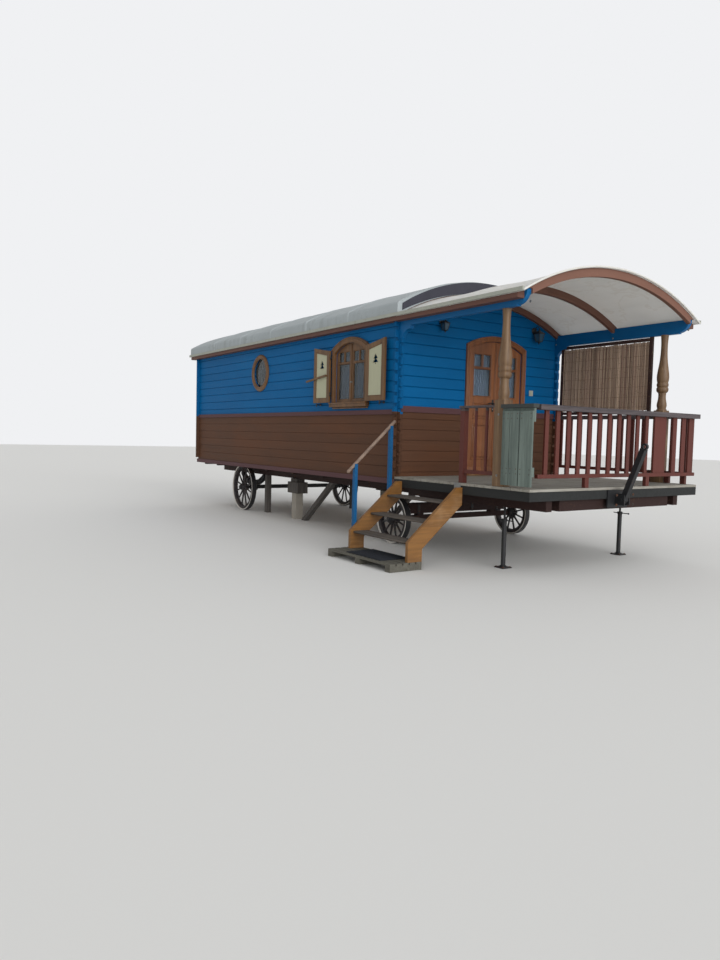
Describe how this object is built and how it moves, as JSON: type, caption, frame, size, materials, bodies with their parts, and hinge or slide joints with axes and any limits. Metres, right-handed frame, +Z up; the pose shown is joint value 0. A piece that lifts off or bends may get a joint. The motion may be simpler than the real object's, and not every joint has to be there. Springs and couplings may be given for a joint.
{
  "type": "vardo wagon",
  "caption": "Log-board living wagon with an arched roof, a roofed porch with balustrades and steps, spoked wheels on a steered forecarriage, shutters, double door and folding draw bar.",
  "frame": {"origin": "on the ground under the middle of the whole wagon's footprint", "axes": "+X the way the wagon travels, +Y to its left, +Z up"},
  "size_m": [9.5969, 4.152, 3.585],
  "materials": {
    "blue_boards": "painted blue above the waist and stained brown below",
    "brown_trim": "dark red-brown painted timber",
    "corner_paint": "painted board ends",
    "floor_wood": "bare boards",
    "roof_membrane": "pale grey roofing membrane",
    "roof_dark": "dark grey closing board",
    "porch_cloth": "off-white stretched sheet",
    "drip_cream": "cream drip strip",
    "plate_blue": "blue painted timber",
    "varnish": "orange-brown varnished joinery",
    "glass": "window glass",
    "shutter": "cream panels in brown frames",
    "iron": "black ironwork",
    "deck_grey": "weathered grey deck boards",
    "post_varnish": "worn varnish on turned posts",
    "rail_red": "dark red stain",
    "grey_green": "weathered grey-green boards",
    "reed": "split reed matting",
    "chassis_brown": "dark red-brown chassis timber",
    "wheel_dark": "dark painted wheel",
    "stone": "pale block",
    "timber_prop": "old timber",
    "step_orange": "orange-brown stain",
    "tread_grey": "weathered treads",
    "pallet": "weathered pallet",
    "rail_blue": "blue painted posts",
    "bar_steel": "dark painted steel"
  },
  "bodies": {
    "root": {"wall_right": "blue_boards", "wall_left": "blue_boards", "wall_front": "blue_boards", "wall_rear": "blue_boards", "corner_ends": "corner_paint", "cabin_floor": "floor_wood", "wall_trims": "brown_trim", "roof_body": "roof_membrane", "roof_board": "roof_dark", "porch_sheet": "porch_cloth", "fascia": "brown_trim", "drip_strips": "drip_cream", "porch_plates": "plate_blue", "roof_bows": "brown_trim", "window_casings": "varnish", "window_sashes": "varnish", "window_glass": "glass", "round_rings": "varnish", "hinge_irons": "iron", "door_frame": "varnish", "lanterns": "iron", "deck_boards": "deck_grey", "deck_frame": "deck_grey", "porch_posts": "post_varnish", "rail_front": "rail_red", "rail_left": "rail_red", "rail_right": "rail_red", "grey_boards": "grey_green", "screen_frame": "brown_trim", "reed_mat": "reed", "chassis": "chassis_brown", "cross_timbers": "chassis_brown", "turntable_upper": "chassis_brown", "rear_axle": "bar_steel", "jacks": "bar_steel", "pier_blocks": "stone", "prop_timbers": "timber_prop", "step_stringers": "step_orange", "step_treads": "tread_grey", "pallet": "pallet", "handrail_posts": "rail_blue", "handrail": "step_orange", "bar_bracket": "bar_steel"},
    "forecarriage_body": {"forecarriage": "chassis_brown"},
    "wheel_fr": {"wheel_front_right": "wheel_dark"},
    "wheel_fl": {"wheel_front_left": "wheel_dark"},
    "wheel_rr": {"wheel_rear_right": "wheel_dark"},
    "wheel_rl": {"wheel_rear_left": "wheel_dark"},
    "draw_bar_body": {"draw_bar": "bar_steel"},
    "door_right_body": {"door_right": "varnish", "door_right_glass": "glass", "door_handle": "iron"},
    "door_left_body": {"door_left": "varnish", "door_left_glass": "glass"},
    "shutter_rr": {"shutter_right_rear": "shutter"},
    "shutter_rf": {"shutter_right_front": "shutter"},
    "shutter_lf": {"shutter_left_front": "shutter"},
    "shutter_lr": {"shutter_left_rear": "shutter"}
  },
  "joints": [
    {"name": "forecarriage_steer", "type": "hinge", "parent": "root", "child": "forecarriage_body", "pos_m": [1.63806, 0.454, 0.6], "axis": [0, 0, 1], "range_deg": [-30, 30]},
    {"name": "wheel_front_right_spin", "type": "hinge", "parent": "forecarriage_body", "child": "wheel_fr", "pos_m": [1.63806, -0.696, 0.335], "axis": [0, 1, 0], "continuous": true},
    {"name": "wheel_front_left_spin", "type": "hinge", "parent": "forecarriage_body", "child": "wheel_fl", "pos_m": [1.63806, 1.604, 0.335], "axis": [0, 1, 0], "continuous": true},
    {"name": "wheel_rear_right_spin", "type": "hinge", "parent": "root", "child": "wheel_rr", "pos_m": [-3.11194, -0.696, 0.435], "axis": [0, 1, 0], "continuous": true},
    {"name": "wheel_rear_left_spin", "type": "hinge", "parent": "root", "child": "wheel_rl", "pos_m": [-3.11194, 1.604, 0.435], "axis": [0, 1, 0], "continuous": true},
    {"name": "draw_bar_fold", "type": "hinge", "parent": "root", "child": "draw_bar_body", "pos_m": [4.51806, 0.374, 0.812], "axis": [0, 1, 0], "range_deg": [-21, 80]},
    {"name": "door_right_swing", "type": "hinge", "parent": "root", "child": "door_right_body", "pos_m": [2.06406, 0.177, 1], "axis": [0, 0, 1], "range_deg": [0, 95]},
    {"name": "door_left_swing", "type": "hinge", "parent": "root", "child": "door_left_body", "pos_m": [2.06406, 1.187, 1], "axis": [0, 0, 1], "range_deg": [-95, 0]},
    {"name": "shutter_right_rear_swing", "type": "hinge", "parent": "root", "child": "shutter_rr", "pos_m": [0.57006, -1.107, 2], "axis": [0, 0, 1], "range_deg": [0, 180]},
    {"name": "shutter_right_front_swing", "type": "hinge", "parent": "root", "child": "shutter_rf", "pos_m": [1.46606, -1.107, 2], "axis": [0, 0, 1], "range_deg": [-180, 0]},
    {"name": "shutter_left_front_swing", "type": "hinge", "parent": "root", "child": "shutter_lf", "pos_m": [1.46606, 2.015, 2], "axis": [0, 0, 1], "range_deg": [0, 180]},
    {"name": "shutter_left_rear_swing", "type": "hinge", "parent": "root", "child": "shutter_lr", "pos_m": [0.57006, 2.015, 2], "axis": [0, 0, 1], "range_deg": [-180, 0]}
  ]
}
